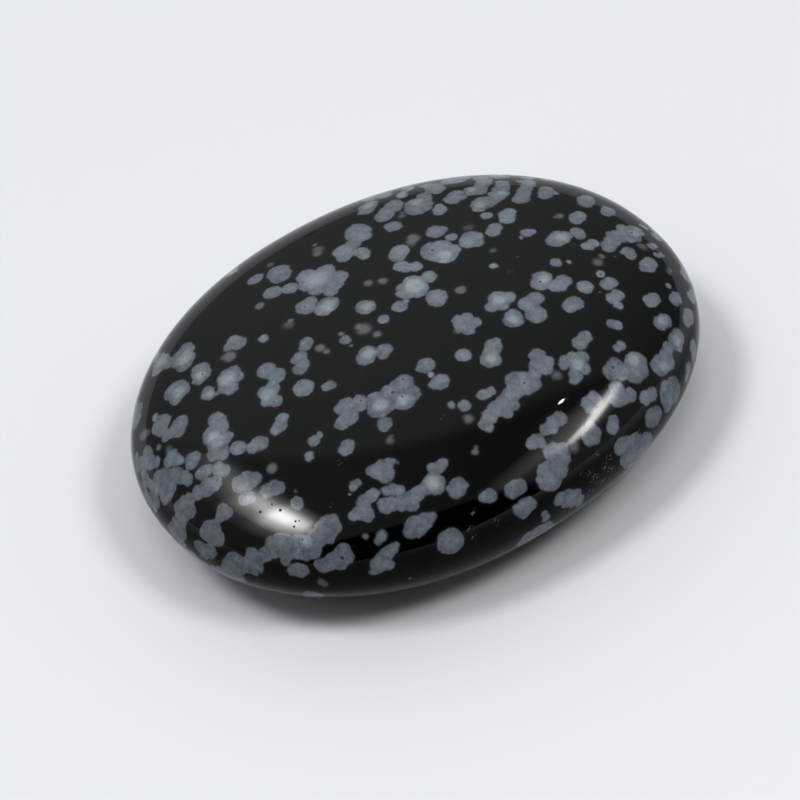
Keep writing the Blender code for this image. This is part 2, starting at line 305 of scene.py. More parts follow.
# Flakes on the front left
LEFT_FRONT = [
    (-12, -11.4, 0.68), (-12.6, -11.4, 0.58), (-11.5, -11.45, 0.5), (-12.45, -12.5, 0.5),
    (-12.1, -12.55, 0.42), (-10.3, -12.5, 0.5), (-10, -12.6, 0.42), (-10.8, -12.55, 0.5),
    (-14.2, -12.7, 0.52), (-13.9, -12.85, 0.38), (-14.2, -12.4, 0.33), (-14.6, -12.9, 0.33),
    (-15.7, -13.2, 0.6), (-16.1, -13.3, 0.52), (-15.3, -13.3, 0.58), (-15.4, -14, 0.58),
    (-15.8, -13.7, 0.5), (-16.4, -13.25, 0.28), (-17.5, -13.65, 0.42), (-17.2, -13.95, 0.52),
    (-16.9, -14.4, 0.55), (-16.5, -14.4, 0.5), (-17.45, -14.3, 0.48), (-15, -15.8, 0.62),
    (-14.6, -15.9, 0.48), (-15.6, -15.9, 0.58), (-16.2, -16.1, 0.58), (-17, -16.1, 0.58),
    (-17.6, -16.3, 0.55), (-15.5, -16.4, 0.58), (-16.3, -16.8, 0.55), (-15.1, -16.5, 0.48),
    (-16.8, -16.9, 0.58), (-16, -17.2, 0.45), (-17.2, -17.2, 0.5), (-18.1, -16.1, 0.5),
    (-17.9, -15.6, 0.35), (-13.95, -16.4, 0.55), (-13.3, -16, 0.5), (-14.3, -16.7, 0.42),
    (-13.5, -16.8, 0.52), (-13, -16.4, 0.45), (-12.4, -16.35, 0.48), (-12, -16.2, 0.4),
    (-14, -17.1, 0.28), (-11.5, -16, 0.6), (-11, -15.9, 0.55), (-11.7, -16.4, 0.45), (-11, -16.4, 0.58),
    (-10.5, -16.2, 0.55), (-10.2, -16.45, 0.55), (-9.8, -16.4, 0.5), (-9.3, -16.6, 0.58),
    (-9, -16.8, 0.52), (-9.5, -17.2, 0.48), (-9, -17.3, 0.42), (-10, -17, 0.45), (-8.75, -17, 0.4),
    (-10.8, -16.9, 0.42), (-11.15, -17.2, 0.35), (-10.7, -18, 0.5), (-10.3, -18.15, 0.45),
    (-11.05, -18, 0.38), (-10.6, -18.3, 0.35), (-8.7, -18.3, 0.5), (-8.25, -18.25, 0.55),
    (-7.7, -18.1, 0.6), (-7.1, -17.8, 0.58), (-7, -18.1, 0.55), (-7.5, -18.45, 0.5),
    (-6.9, -17.6, 0.38), (-8.9, -18.1, 0.35), (-7.5, -15.65, 0.45), (-7.1, -15.65, 0.4),
    (-7, -16.1, 0.4), (-7.4, -16.2, 0.52), (-7.9, -16, 0.5), (-8, -16.5, 0.48), (-8.5, -16.3, 0.48),
    (-7.65, -16.7, 0.33), (-8.35, -16.75, 0.35), (-11.35, -20.35, 0.55), (-11, -20.6, 0.42),
    (-11.8, -20.7, 0.5), (-11.5, -20.95, 0.45), (-12.4, -20.9, 0.4), (-9.1, -13.9, 0.38),
    (-9.05, -14.1, 0.36),
]

# Flakes in the middle of the front
MIDDLE_FRONT = [
    (-4.7, -8, 0.6), (-5.1, -8.2, 0.45), (-4.5, -8.5, 0.5), (-4.7, -9, 0.6), (-5.2, -9.3, 0.52),
    (-3.85, -7.85, 0.45), (-3.85, -8.3, 0.42), (-2.8, -8.05, 0.65), (-2.75, -8.8, 0.75),
    (-2.3, -8.6, 0.7), (-2.5, -10, 0.5), (-2.6, -10.25, 0.38), (-1.9, -7.6, 0.55), (-0.85, -7.15, 0.68),
    (-1.35, -7.4, 0.6), (-0.65, -8.05, 0.75), (-1.1, -8.5, 0.78), (-1.6, -8.5, 0.6),
    (-7.2, -10.1, 0.42), (-6.8, -9.75, 0.25), (-7.65, -11.1, 0.35), (-5.1, -11, 0.45),
    (-5.3, -11.3, 0.45), (-3.2, -13, 0.55), (-3.7, -13.2, 0.52), (-2.9, -13.5, 0.42),
    (-3.1, -13.7, 0.45), (-2.8, -12.9, 0.38), (-4, -13.15, 0.35), (-3.4, -13.5, 0.42),
    (-2.5, -12.75, 0.22), (-5.25, -13.85, 0.34), (-5, -13.75, 0.3), (-4.3, -14.75, 0.42),
    (-4.7, -14.9, 0.4), (-4.05, -14.6, 0.33), (-5, -15.1, 0.36), (-5.2, -15.6, 0.48),
    (-5.7, -15.75, 0.33), (-4.8, -15.9, 0.42), (-4.9, -15.5, 0.42), (-2.8, -14.6, 0.42),
    (-3.3, -14.6, 0.33), (-2.4, -14.7, 0.36), (-3.6, -15.45, 0.42), (-3.1, -15.5, 0.48),
    (-2.5, -15.55, 0.52), (-1.9, -15.5, 0.6), (-1.4, -15.2, 0.48), (-1.7, -15.85, 0.35),
    (-3.5, -15.7, 0.38), (-1, -15, 0.4), (-0.2, -14.65, 0.65), (0, -14.9, 0.5), (0.2, -14.55, 0.42),
    (-0.6, -14.8, 0.48), (-0.05, -14.2, 0.4), (0.5, -13.5, 0.42), (0.2, -13.7, 0.42),
    (0.75, -13.4, 0.28), (-0.1, -13.6, 0.33), (1.35, -15.1, 0.62), (1.5, -15, 0.5), (1.15, -15.3, 0.5),
    (0.7, -15.1, 0.18), (3.25, -15.85, 0.44), (2.95, -15.9, 0.35), (3.55, -15.85, 0.36),
    (5.2, -15.45, 0.55), (5.55, -15.35, 0.48), (5, -15.7, 0.48), (4.8, -15.5, 0.35), (5.9, -16.7, 0.65),
    (5.7, -16.9, 0.58), (6.25, -16.65, 0.5), (5.8, -17.2, 0.38), (5.35, -16.8, 0.38),
    (-1.9, -17.1, 0.68), (-1.4, -17, 0.6), (-2.3, -17.45, 0.45), (-1.7, -17.4, 0.5),
    (-0.9, -16.8, 0.35), (-0.6, -16.65, 0.25), (0.22, -18.55, 0.92), (-4.3, -17.4, 0.36),
    (-4.15, -17.25, 0.28), (-4.5, -17.6, 0.26), (-3.7, -18.3, 0.38), (-4.2, -18.5, 0.48),
    (-4.6, -18.85, 0.55), (-5, -19.2, 0.6), (-5.4, -19.5, 0.38), (-4.5, -19.3, 0.48),
    (-3.4, -18.1, 0.22), (6.3, -19.9, 0.45), (6.8, -19.6, 0.75), (7.6, -19.1, 0.75), (7.3, -20, 0.8),
    (8.1, -19.8, 0.8), (6.4, -19.3, 0.42), (8.2, -18.8, 0.65), (8.9, -19.2, 0.6), (7.9, -17.75, 0.33),
    (7.6, -17.35, 0.28),
]

# Faint flakes that lie just under the polish
GHOSTS = [
    (-8.25, 7.5, 0.3), (-9.3, 2.95, 0.33), (-11.8, -1.05, 0.46), (-12.2, -0.95, 0.26),
    (-7.55, 0.2, 0.4), (-7.4, 0.5, 0.25), (-1.9, 2.5, 0.3), (-0.95, 2.45, 0.33), (-2.75, -1.8, 0.5),
    (-3, -1.5, 0.32), (-4.25, -1.8, 0.2), (-4.85, 7.5, 0.42), (-4.95, 7, 0.35), (-5.05, 8.2, 0.22),
    (1.6, 6.25, 0.45), (1.4, 5.85, 0.42), (5.35, 6.4, 0.42), (3.95, 0.2, 0.35), (6.6, 3.6, 0.26),
    (-5.75, -2.65, 0.33), (-5.4, -3.05, 0.25), (-3.75, -3.05, 0.15), (-1.95, -2.5, 0.3),
    (-10.2, -11.15, 0.36), (3.2, -3.5, 0.25), (2.8, -10.6, 0.35), (9, -7.9, 0.38), (11.6, 6.9, 0.33),
    (11.35, 6.8, 0.22), (16.95, 4.15, 0.42), (13.35, 1.75, 0.4), (13.75, 2.35, 0.25), (18.75, 2.4, 0.3),
    (18.6, 2.1, 0.25), (1.15, 9.2, 0.3), (1.2, 9.6, 0.25), (-19.1, -3.65, 0.45), (-19.4, -3.45, 0.3),
    (-18.75, -3.8, 0.32), (-17.1, -6.4, 0.35), (-17.9, -5.7, 0.25), (-2.4, -11.3, 0.28),
    (-2.3, -11.05, 0.2), (2.85, -12.9, 0.24), (2.95, -12.65, 0.16), (-5.3, -17.12, 0.2),
    (-9.5, -19.4, 0.33), (-9.4, -19.6, 0.28), (-3.3, -20.9, 0.15), (-9, -13.2, 0.15), (-13, -3.9, 0.2),
    (-2.2, -12.9, 0.16), (-5.6, -14.3, 0.13), (9.6, -12.7, 0.45),
]

# Pale hearts in some of the flakes
HEARTS = [
    (-5.3, 4, 0.8), (-4.75, 1.1, 0.6), (-2.25, 0.25, 0.4), (3.4, 3.9, 0.5), (3.3, 3.3, 0.3),
    (1, 1.4, 0.7), (-15.7, -2.2, 0.45), (-13.7, -7.3, 0.5), (-13.5, -7.7, 0.5), (-2.7, -4.1, 0.45),
    (-9.7, -5.5, 0.5), (-2.6, -8.5, 0.5), (14.6, -6.4, 0.4), (10.6, -7.1, 0.45), (5, -6.2, 0.4),
    (11.4, 4.4, 0.45), (17.1, -6.2, 0.4), (18.4, -8.1, 0.25), (-12.1, -3, 0.6), (9.5, 0.2, 0.4),
    (-1, 12, 0.4), (2.3, 10.8, 0.5), (6.25, 11.4, 0.4), (6.5, 9, 0.4), (8.2, 10.4, 0.35),
    (-9.1, -16.5, 0.4), (6.9, -3.2, 0.4), (-15, 0.8, 0.6), (-17, 2.3, 0.6), (17.3, -2.8, 0.4),
    (18.4, -3.9, 0.4), (-0.2, -14.6, 0.5), (-1.1, -8.5, 0.4), (-14, -1.7, 0.4), (-13.4, -3.7, 0.3),
    (1.4, 12.6, 0.4), (16.7, 5.6, 0.4), (6.3, -1.3, 0.4),
]

# Dark dots at the middle of some flakes
NUCLEI = [
    (-6.3, 1.55, 0.1), (2.7, 4.6, 0.14), (-9.3, -6.25, 0.08), (-3.75, -7.9, 0.1), (-1.65, -7.75, 0.14),
    (-0.85, -6.85, 0.1), (-1.1, -8.2, 0.1), (6.8, -8.35, 0.1), (13, -7.15, 0.14), (13.35, 0.55, 0.12),
    (9.2, 0, 0.12), (-13.8, -1.7, 0.1), (-7.25, -18.1, 0.14), (-9.4, -16.3, 0.08), (16.45, 5.6, 0.12),
    (-5.9, 2.1, 0.07), (-13.9, -3.7, 0.05),
]

# Small patches strewn with tiny pale chips
CHIPPED = [
    (8.05, 2.6, 0.12), (7.35, 1.3, 0.15), (-3.45, -5.55, 0.1), (14.65, 2.45, 0.14), (11.95, 3.45, 0.14),
    (13, -1.15, 0.1), (12.6, -13.9, 0.35), (11.85, -14.8, 0.45), (11.3, -14.45, 0.3), (13.3, -14, 0.35),
    (12.8, -13.1, 0.25), (11.5, -13.1, 0.2), (10.5, -14.5, 0.2), (12.9, -14.8, 0.25),
    (11.9, -15.8, 0.35), (14.4, -12.2, 0.3), (15.3, -11.2, 0.25), (2.1, -16.8, 0.2),
    (1.75, -17.85, 0.16), (3.6, -17.6, 0.2), (1.9, -18.5, 0.16), (-5.9, -12.1, 0.14),
    (-6.9, -14.8, 0.12), (1.1, -10.25, 0.12),
]


def outline(angle, length, width):
    """Points of the girdle at each angle, and never outside the solid's length and width.

    The radius is that of a superellipse, |x / a| ** n + |y / b| ** n = 1, times one plus three
    faint swells, and the ring is then centred and brought to its exact length and width.
    """
    along = np.abs(np.cos(angle) / (length / 2)) ** OUTLINE_POWER
    across = np.abs(np.sin(angle) / (width / 2)) ** OUTLINE_POWER
    radius = (along + across) ** (-1 / OUTLINE_POWER)
    radius = radius * (1 + EGG_SHARE * np.cos(3 * (angle - EGG_TURN)))
    ring = np.stack([radius * np.cos(angle), radius * np.sin(angle)], axis=-1)
    low, high = ring.min(axis=0), ring.max(axis=0)
    return (ring - (low + high) / 2) * np.array([length, width]) / (high - low)


def profile(thickness):
    """Share of the outline and height of each ring, from the middle underneath to the top.

    Both domes follow share ** power + rise ** 2 = 1, stepped evenly in the turn whose cosine
    gives the share and whose sine gives the rise. The lower one is cut off flat.
    """
    girdle = thickness * GIRDLE_SHARE
    last = math.acos(FLAT_SHARE ** (BASE_POWER / 2))
    turn = np.linspace(last, 0.0, BASE_STEPS + 1)
    low_share = np.cos(turn) ** (2 / BASE_POWER)
    low_height = girdle * (1 - np.sin(turn) / math.sin(last))
    turn = np.linspace(0.0, math.pi / 2, TOP_STEPS + 1)[1:-1]
    top_share = np.cos(turn) ** (2 / TOP_POWER)
    top_height = girdle + (thickness - girdle) * np.sin(turn)
    return np.concatenate([low_share, top_share]), np.concatenate([low_height, top_height])


def grid_faces(rings, around):
    """Faces of a closed surface of stacked rings with a pole below and a pole above.

    Ring r's points are r * around and on, and the two poles follow the last ring.
    """
    here = np.arange(around)
    after = (here + 1) % around
    start = np.arange(rings - 1)[:, None] * around
    corners = [start + here, start + after, start + around + after, start + around + here]
    quads = np.stack(corners, axis=-1)
    foot, top = rings * around, rings * around + 1
    below = np.stack([after, here, np.full(around, foot)], axis=-1)
    last = (rings - 1) * around
    above = np.stack([last + here, last + after, np.full(around, top)], axis=-1)
    return quads.reshape(-1, 4).tolist() + below.tolist() + above.tolist()


def stone_surface(size):
    """The pebble's visible surface: the outline, shrunk and raised ring by ring."""
    length, width, thickness = size
    angle = np.arange(AROUND) * (2 * math.pi / AROUND)
    ring = outline(angle, length - 2 * INSET, width - 2 * INSET)
    share, height = profile(thickness - INSET)
    flat = share[:, None, None] * ring[None]
    tall = np.broadcast_to(height[:, None, None], flat.shape[:2] + (1,))
    points = np.concatenate([flat, tall], axis=2).reshape(-1, 3)
    poles = [(0.0, 0.0, 0.0), (0.0, 0.0, thickness - INSET)]
    mesh = bpy.data.meshes.new("polished_stone")
    mesh.from_pydata(np.concatenate([points, poles]), [], grid_faces(len(share), AROUND))
    mesh.shade_smooth()
    return mesh


def on_the_top(marks, size):
    """Places in the stone, in millimetres, of marks laid out over its polished top.

    A mark's direction from the middle, turned with the camera, picks a line down the stone. It
    lies where the length walked down that line is the mark's distance from the middle.
    """
    length, width, thickness = [side / MM for side in size]
    right, away = np.array(marks)[:, :2].T
    turn = np.arctan2(away, right) + CAMERA_SIDE
    ring = outline(np.linspace(0, 2 * math.pi, OUTLINE_STEPS + 1)[:-1], length, width)
    ring_turn = np.arctan2(ring[:, 1], ring[:, 0])
    ring_radius = np.hypot(ring[:, 0], ring[:, 1])
    radius = np.interp(turn, ring_turn, ring_radius, period=2 * math.pi)
    share, height = profile(thickness)
    share = np.append(share, 0.0)[::-1]
    height = np.append(height, thickness)[::-1]
    step = np.hypot(radius[:, None] * np.diff(share), np.diff(height))
    walked = np.pad(np.cumsum(step, axis=1), ((0, 0), (1, 0)))
    goal = np.hypot(right, away)
    part = np.array([np.interp(far, line, share) for far, line in zip(goal, walked)])
    tall = np.array([np.interp(far, line, height) for far, line in zip(goal, walked)])
    return np.stack([radius * part * np.cos(turn), radius * part * np.sin(turn), tall], axis=1)


def face_values(mesh, name, width=3):
    """One vector or number per face, as an array."""
    values = np.empty(len(mesh.polygons) * width)
    mesh.polygons.foreach_get(name, values)
    return values.reshape(-1, width).squeeze()


def hidden_flakes(mesh, chains, random):
    """Chains of flakes for the sides that the camera doesn't see, as places and radii.

    Each chain starts at a random place and goes on over the surface one radius at a time, in a
    heading that wanders. Each step is laid back onto the nearest face.
    """
    middle = face_values(mesh, "center") / MM
    facing = face_values(mesh, "normal")
    camera = np.array(CAMERA_AIM) + np.array(compass(0.0, CAMERA_HEIGHT)) * CAMERA_DISTANCE
    sight = camera / MM - middle
    seen = (sight * facing).sum(axis=1) / np.linalg.norm(sight, axis=1)
    chance = face_values(mesh, "area", 1) * (seen < OUT_OF_SIGHT)
    face = random.choice(len(middle), chains, p=chance / chance.sum())
    place = middle[face]
    heading = random.normal(size=(chains, 3))
    swell = random.uniform(*CHAIN_SWELL, chains)
    places, radii = [], []
    for ball in range(CHAIN_BALLS):
        radius = swell * random.uniform(*CHAIN_RADII, len(place))
        places.append(place)
        radii.append(radius)
        going = random.random(len(place)) < CHAIN_CHANCE
        heading = heading[going] + CHAIN_WANDER * random.normal(size=(going.sum(), 3))
        normal = facing[face[going]]
        heading = heading - (heading * normal).sum(axis=1)[:, None] * normal
        heading = heading / np.linalg.norm(heading, axis=1)[:, None]
        swell = swell[going]
        goal = place[going] + heading * radius[going, None]
        face = nearest_rows(goal, middle)
        place = middle[face]
    return np.concatenate(places), np.concatenate(radii)


def nearest_rows(goals, rows):
    """For each goal, the row whose point lies nearest to it."""
    square = (rows ** 2).sum(axis=1) - 2 * goals @ rows.T
    return square.argmin(axis=1)


def remember(mesh, name, kept, places, sizes):
    """Write on each face the marks whose edges lie nearest to it, the nearest first.

    A mark is two vectors: its place, and its radius, softness and tone.
    """
    middle = face_values(mesh, "center") / MM
    place_squares = (places ** 2).sum(axis=1)
    best = []
    for first in range(0, len(middle), BATCH):
        part = middle[first:first + BATCH]
        squares = (part ** 2).sum(axis=1)[:, None] + place_squares - 2 * part @ places.T
        edge = np.sqrt(np.maximum(squares, 0.0)) - sizes[:, 0]
        best.append(np.argsort(edge, axis=1)[:, :kept])
    best = np.concatenate(best)
    for rank in range(kept):
        for label, values in (("place", places), ("size", sizes)):
            layer = mesh.attributes.new(f"{name}_{label}_{rank + 1}", "FLOAT_VECTOR", "FACE")
            layer.data.foreach_set("vector", values[best[:, rank]].astype(np.float32).ravel())


def filled(marks):
    """The marks, and one more midway between each two that follow each other closely."""
    marks = np.array(marks)
    apart = np.linalg.norm(np.diff(marks[:, :2], axis=0), axis=1)
    middle = (marks[1:] + marks[:-1]) / 2
    return np.concatenate([marks, middle[apart < CLOSE]])


def sizes_of(radii, softness, random, spread):
    """Radius, softness and tone of each mark, the tone within the spread of one."""
    tone = random.uniform(1 - spread, 1 + spread, len(radii))
    return np.stack([radii, np.broadcast_to(softness, radii.shape), tone], axis=1)


def mark_stone(mesh, size):
    """Give the stone's faces the flakes and the smaller marks that lie near them.

    Each list of flakes goes with its brightness, which is partly painted shade: the patches on
    the front and the left are set darker than those on the top. Each smaller kind of mark goes
    with its softness, with how many of the hidden flakes have one, and with its share of their
    radius.
    """
    random = np.random.default_rng(SEED)
    # Brightness of each patch of flakes: their own tone, lowered on the front and the left as painted
    # shade
    flakes = (
        (TOP_LEFT, 0.94),
        (TOP_RIGHT, 1.00),
        (filled(FAR_RIM), 0.86),
        (RIGHT_SIDE, 0.97),
        (RIGHT_FRONT, 0.88),
        (LEFT_SIDE, 0.84),
        (LEFT_RIM, 0.74),
        (LEFT_FRONT, 0.67),
        (MIDDLE_FRONT, 0.79),
    )
    seen = np.concatenate([marks for marks, tone in flakes])
    tone_and_shade = np.concatenate([np.full(len(marks), tone) for marks, tone in flakes])
    hidden, hidden_radii = hidden_flakes(mesh, HIDDEN_CHAINS, random)
    places = np.concatenate([on_the_top(seen, size), hidden])
    radii = np.concatenate([seen[:, 2] + GROWTH, hidden_radii])
    sizes = sizes_of(radii, BALL_EDGE, random, spread=0.12)
    # Painted shade: the flakes of each patch take that patch's brightness
    sizes[:len(seen), 2] *= tone_and_shade
    sizes[len(seen):, 2] *= HIDDEN_TONE
    remember(mesh, "flake", 4, places, sizes)

    places, radii = hidden_flakes(mesh, HIDDEN_GHOST_CHAINS, random)
    places = np.concatenate([on_the_top(GHOSTS, size), places])
    radii = np.concatenate([np.array(GHOSTS)[:, 2], radii])
    remember(mesh, "ghost", 2, places, sizes_of(radii, GHOST_SOFTNESS * radii, random, spread=0.3))

    kinds = (
        ("heart", HEARTS, 0.2, 100, 0.8),
        ("nucleus", NUCLEI, 0.06, 40, 0.2),
        ("chips", CHIPPED, 0.2, 0, 0.0),
        ("pit", PITS, 0.05, 0, 0.0),
    )
    for name, marks, softness, count, share in kinds:
        places = np.concatenate([on_the_top(marks, size), hidden[:count]])
        radii = np.concatenate([np.array(marks)[:, 2], share * hidden_radii[:count]])
        remember(mesh, name, 1, places, sizes_of(radii, softness, random, spread=0.15))


def put(name, data):
    """An object for the data, linked into the scene at the origin."""
    thing = bpy.data.objects.new(name, data)
    bpy.context.scene.collection.objects.link(thing)
    return thing


def node(tree, kind, inputs, **settings):
    """A shader node, its inputs given by name or number as values or as other nodes' outputs."""
    made = tree.nodes.new("ShaderNode" + kind)
    for name, value in settings.items():
        setattr(made, name, value)
    for name, value in inputs.items():
        if isinstance(value, bpy.types.NodeSocket):
            tree.links.new(value, made.inputs[name])
        else:
            made.inputs[name].default_value = value
    return made


def maths(tree, operation, *values):
    """The result of one operation on numbers."""
    return node(tree, "Math", dict(enumerate(values)), operation=operation).outputs[0]


def paired(tree, operation, values, *extra):
    """The results of one operation on the first two of four numbers and on the last two."""
    first = maths(tree, operation, *values[:2], *extra)
    second = maths(tree, operation, *values[2:], *extra)
    return first, second


def vectors(tree, operation, *values):
    """The result of one operation on vectors."""
    made = node(tree, "VectorMath", dict(enumerate(values)), operation=operation)
    return made.outputs["Value" if operation in ("DISTANCE", "DOT_PRODUCT") else "Vector"]


def scaled(tree, vector, factor):
    """A vector times a number."""
    inputs = {0: vector, "Scale": factor}
    return node(tree, "VectorMath", inputs, operation="SCALE").outputs["Vector"]


def eased(tree, value, low, high, start=0.0, end=1.0):
    """Start below low, end above high and a smooth passage between."""
    inputs = {"Value": value, "From Min": low, "From Max": high, "To Min": start, "To Max": end}
    return node(tree, "MapRange", inputs, interpolation_type="SMOOTHSTEP").outputs["Result"]


def blended(tree, factor, first, second):
    """Two colours, mixed."""
    return node(tree, "Mix", {0: factor, 6: first, 7: second}, data_type="RGBA").outputs[2]


def noise(tree, place, scale, detail=2.0, output="Fac"):
    """Cloudy noise, scale swells to the millimetre."""
    inputs = {"Vector": place, "Scale": scale, "Detail": detail}
    return node(tree, "TexNoise", inputs).outputs[output]


def new_group(name, inputs, outputs):
    """An empty node group, and the sockets inside it that give its inputs and take its outputs."""
    group = bpy.data.node_groups.new(name, "ShaderNodeTree")
    for label, kind in inputs.items():
        group.interface.new_socket(label, in_out="INPUT", socket_type="NodeSocket" + kind)
    for label, kind in outputs.items():
        group.interface.new_socket(label, in_out="OUTPUT", socket_type="NodeSocket" + kind)
    given = group.nodes.new("NodeGroupInput").outputs
    asked = group.nodes.new("NodeGroupOutput").inputs
    return group, given, asked


def mark_group():
    """Group that tells how far a point is from a mark's edge, and how the mark looks there.

    The light is the mark's tone, raised in its middle and lowered near its edge by the swell.
    """
    group, given, asked = new_group(
        "mark",
        {"Point": "Vector", "Place": "Vector", "Size": "Vector", "Swell": "Float"},
        {"Edge": "Float", "Cover": "Float", "Light": "Float"},
    )
    radius, softness, tone = node(group, "SeparateXYZ", {0: given["Size"]}).outputs
    far = vectors(group, "DISTANCE", given["Point"], given["Place"])
    edge = maths(group, "SUBTRACT", far, radius)
    inside = maths(group, "MULTIPLY", softness, -1.0)
    cover = eased(group, edge, inside, softness, start=1.0, end=0.0)
    share = maths(group, "DIVIDE", far, maths(group, "ADD", radius, 0.01))
    dome = maths(group, "SUBTRACT", EVEN_SQUARE, maths(group, "POWER", share, 2.0))
    swell = maths(group, "MULTIPLY_ADD", dome, given["Swell"], 1.0)
    light = maths(group, "MULTIPLY", maths(group, "MULTIPLY", tone, swell), cover)
    group.links.new(edge, asked["Edge"])
    group.links.new(cover, asked["Cover"])
    group.links.new(light, asked["Light"])
    return group


def flake_group():
    """Group that joins the four nearest balls into flakes: their cover, brightness and edge.

    The brightness is that of the palest ball at the point, with whiter hearts, cloudy mottling,
    pale grains, a faint pale rim and a faint line where two balls meet.
    """
    sockets = {"Point": "Vector", "Heart": "Float"}
    for rank in "1234":
        sockets["Edge " + rank] = "Float"
        sockets["Light " + rank] = "Float"
    results = {"Cover": "Float", "Light": "Float", "Edge": "Float"}
    group, given, asked = new_group("flakes", sockets, results)
    edges = [given["Edge " + rank] for rank in "1234"]
    lights = [given["Light " + rank] for rank in "1234"]
    joined = maths(group, "SMOOTH_MIN", *paired(group, "SMOOTH_MIN", edges, MELT), MELT)
    cover = eased(group, joined, -0.10, 0.06, start=1.0, end=0.0)
    low = paired(group, "MINIMUM", edges)
    high = paired(group, "MAXIMUM", edges)
    first = maths(group, "MINIMUM", *low)
    second = maths(group, "MINIMUM", maths(group, "MAXIMUM", *low), maths(group, "MINIMUM", *high))

    light = maths(group, "MAXIMUM", *paired(group, "MAXIMUM", lights))
    light = maths(group, "MAXIMUM", light, LEAST_LIGHT)
    heart = maths(group, "MULTIPLY", given["Heart"], HEART_LIGHT)
    cloud = noise(group, given["Point"], CLOUD_SCALE, detail=2.5)
    cloud = maths(group, "MULTIPLY_ADD", cloud, CLOUD_LIGHT, CLOUD_SHIFT)
    grain = noise(group, given["Point"], GRAIN_SCALE, detail=2.5)
    grain = eased(group, grain, 0.50, 0.76, end=GRAIN_LIGHT)
    rim = eased(group, joined, -0.20, -0.08, end=LINE_LIGHT)
    seam = maths(group, "SUBTRACT", second, first)
    seam = eased(group, seam, 0.0, 0.06, start=LINE_LIGHT, end=0.0)
    for part in (heart, cloud, grain, rim, seam):
        light = maths(group, "ADD", light, part)
    group.links.new(cover, asked["Cover"])
    group.links.new(light, asked["Light"])
    group.links.new(joined, asked["Edge"])
    return group


def pushed_about(tree, point):
    """The point, moved by noise of two sizes so that round marks come out uneven."""
    moved = point
    for scale, push in BENDS:
        swirl = noise(tree, point, scale, detail=1.0, output="Color")
        swirl = vectors(tree, "SUBTRACT", swirl, (0.5, 0.5, 0.5))
        moved = vectors(tree, "ADD", moved, scaled(tree, swirl, push))
    return moved


def read_mark(tree, group, name, rank, point, swell=0.0):
    """How the mark of one rank that the face remembers looks at a point."""
    place = node(tree, "Attribute", {}, attribute_name=f"{name}_place_{rank}")
    size = node(tree, "Attribute", {}, attribute_name=f"{name}_size_{rank}")
    inputs = {
        "Point": point,
        "Place": place.outputs["Vector"],
        "Size": size.outputs["Vector"],
        "Swell": swell,
    }
    return node(tree, "Group", inputs, node_tree=group).outputs


def crystal_colour(tree, point, light, nucleus):
    """Bluish or lilac from place to place and whiter where it is bright, with dark middles.

    A dark middle has a narrow pale ring about it.
    """
    hue = eased(tree, noise(tree, point, HUE_SCALE, detail=1.0), 0.4, 0.6)
    colour = blended(tree, hue, BLUE_FLAKE, LILAC_FLAKE)
    colour = blended(tree, eased(tree, light, 0.95, 1.5), colour, WHITE_FLAKE)
    ring = eased(tree, nucleus["Edge"], 0.02, 0.16, start=RING_LIGHT, end=0.0)
    colour = scaled(tree, colour, maths(tree, "ADD", light, ring))
    darkness = maths(tree, "MULTIPLY", nucleus["Cover"], MIDDLE_DARKNESS)
    return blended(tree, darkness, colour, GLASS)


def glass_colour(tree, group, place, flake_edge):
    """Black, with faint flakes and a dust of fine ones in it, and a halo round the flakes."""
    ghosts = [read_mark(tree, group, "ghost", rank, place)["Light"] for rank in "12"]
    ghost = maths(tree, "POWER", maths(tree, "MAXIMUM", *ghosts), GHOST_POWER)
    cells = node(tree, "TexVoronoi", {"Vector": place, "Scale": DUST_SCALE}).outputs
    dust = eased(tree, cells["Distance"], 0.02, 0.06, start=0.4, end=0.0)
    rare = eased(tree, node(tree, "SeparateXYZ", {0: cells["Color"]}).outputs["X"], 0.5, 0.9)
    dust = maths(tree, "MULTIPLY", dust, rare)
    halo = eased(tree, flake_edge, 0.0, 0.3, start=0.03, end=0.0)
    pale = maths(tree, "MAXIMUM", maths(tree, "MAXIMUM", ghost, dust), halo)
    return blended(tree, pale, GLASS, GHOST)


